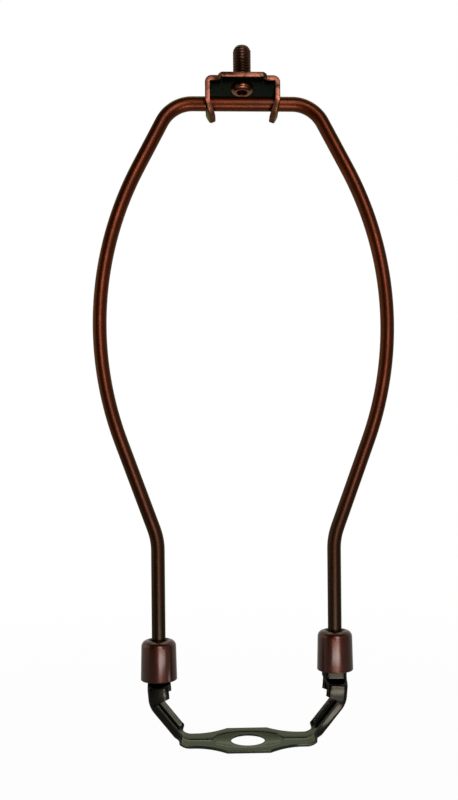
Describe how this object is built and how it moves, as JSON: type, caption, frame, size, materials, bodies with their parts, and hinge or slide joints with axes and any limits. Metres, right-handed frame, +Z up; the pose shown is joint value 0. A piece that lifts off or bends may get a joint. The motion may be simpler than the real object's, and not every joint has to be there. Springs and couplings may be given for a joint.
{
  "type": "lamp harp",
  "caption": "Wire lamp harp that carries a lampshade over a bulb: a bowed wire standing in a pressed saddle, with locking ferrules and a swivelling finial clip.",
  "frame": {"origin": "centre of the saddle's hole, on the saddle's underside", "axes": "+Z up, from the saddle to the finial stud; X across the bow; Y through the plane of the bow"},
  "size_m": [0.1046, 0.0244, 0.2406],
  "materials": {
    "bow_lacquer": "semi-gloss antique bronze lacquer",
    "saddle_bronze": "satin antique bronze lacquer",
    "ferrule_lacquer": "semi-gloss antique bronze lacquer",
    "clip_copper": "satin copper-toned lacquer",
    "stud_bronze": "satin antique bronze lacquer"
  },
  "bodies": {
    "harp": {"harp_wire": "bow_lacquer", "saddle": "saddle_bronze"},
    "left_ferrule": {"ferrule_left": "ferrule_lacquer"},
    "right_ferrule": {"ferrule_right": "ferrule_lacquer"},
    "clip": {"finial_clip": "clip_copper", "finial_stud": "stud_bronze"}
  },
  "joints": [
    {"name": "left_ferrule_slide", "type": "slide", "parent": "harp", "child": "left_ferrule", "axis": [0, 0, 1], "range_m": [0, 0.03]},
    {"name": "right_ferrule_slide", "type": "slide", "parent": "harp", "child": "right_ferrule", "axis": [0, 0, 1], "range_m": [-0.0025, 0.028]},
    {"name": "clip_swivel", "type": "hinge", "parent": "harp", "child": "clip", "pos_m": [0, 0, 0.22132], "axis": [1, 0, 0], "continuous": true}
  ]
}
